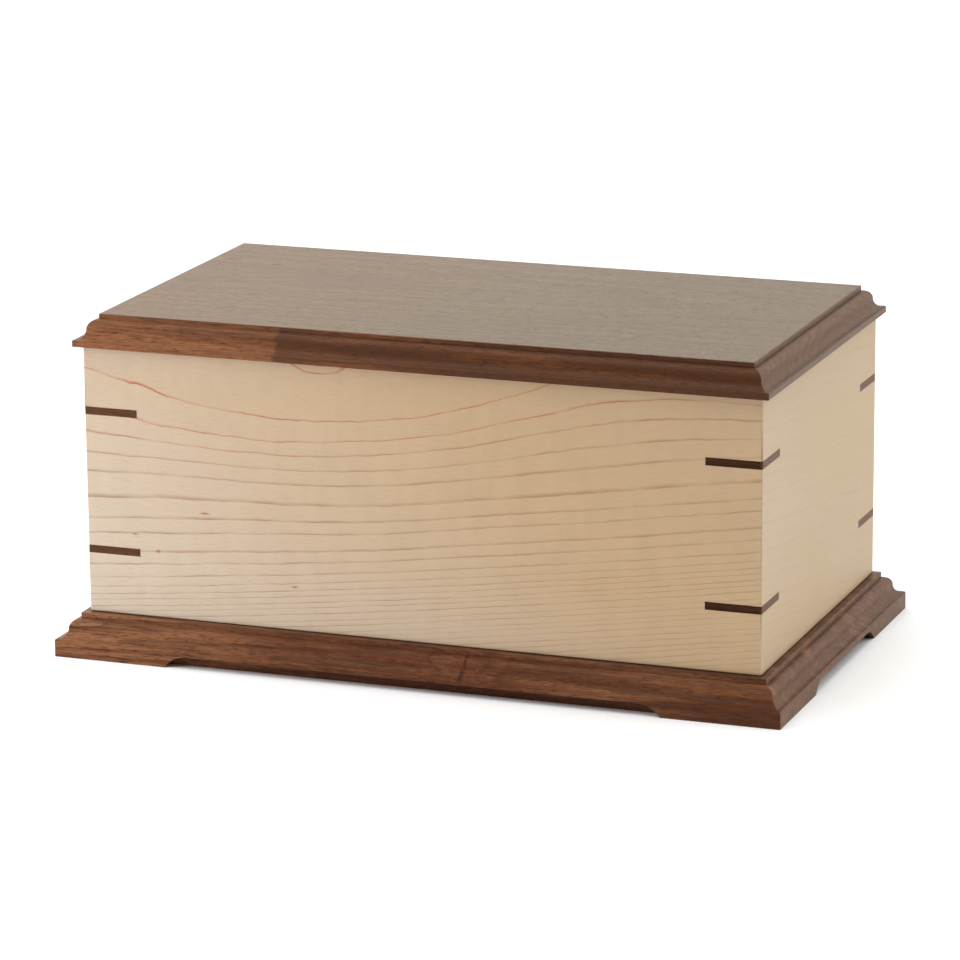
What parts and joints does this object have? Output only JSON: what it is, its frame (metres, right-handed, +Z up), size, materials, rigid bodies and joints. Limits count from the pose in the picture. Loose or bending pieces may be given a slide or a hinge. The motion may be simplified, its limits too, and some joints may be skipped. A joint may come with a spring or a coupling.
{
  "type": "cremation urn box",
  "caption": "Rectangular wooden urn for ashes: a mitred maple box with walnut corner splines, a moulded walnut lid that lifts off and a moulded walnut base on low corner feet.",
  "frame": {"origin": "centre of the underside, on the surface that the box stands on", "axes": "+X along the long side, to the right seen from the front; +Y towards the back; +Z up"},
  "size_m": [0.2946, 0.173, 0.1344],
  "materials": {
    "walnut_lid": "satin clear finish on planed and routed black walnut",
    "walnut_base": "satin clear finish on planed and routed black walnut",
    "maple_boards": "satin clear finish on planed flat-sawn hard maple",
    "walnut_splines": "satin clear finish on black walnut, planed flush with the maple"
  },
  "bodies": {
    "root": {"lid": "walnut_lid", "base": "walnut_base", "board_front": "maple_boards", "board_back": "maple_boards", "board_left": "maple_boards", "board_right": "maple_boards", "spline_front_left_lower": "walnut_splines", "spline_front_left_upper": "walnut_splines", "spline_front_right_lower": "walnut_splines", "spline_front_right_upper": "walnut_splines", "spline_back_left_lower": "walnut_splines", "spline_back_left_upper": "walnut_splines", "spline_back_right_lower": "walnut_splines", "spline_back_right_upper": "walnut_splines"}
  },
  "joints": []
}
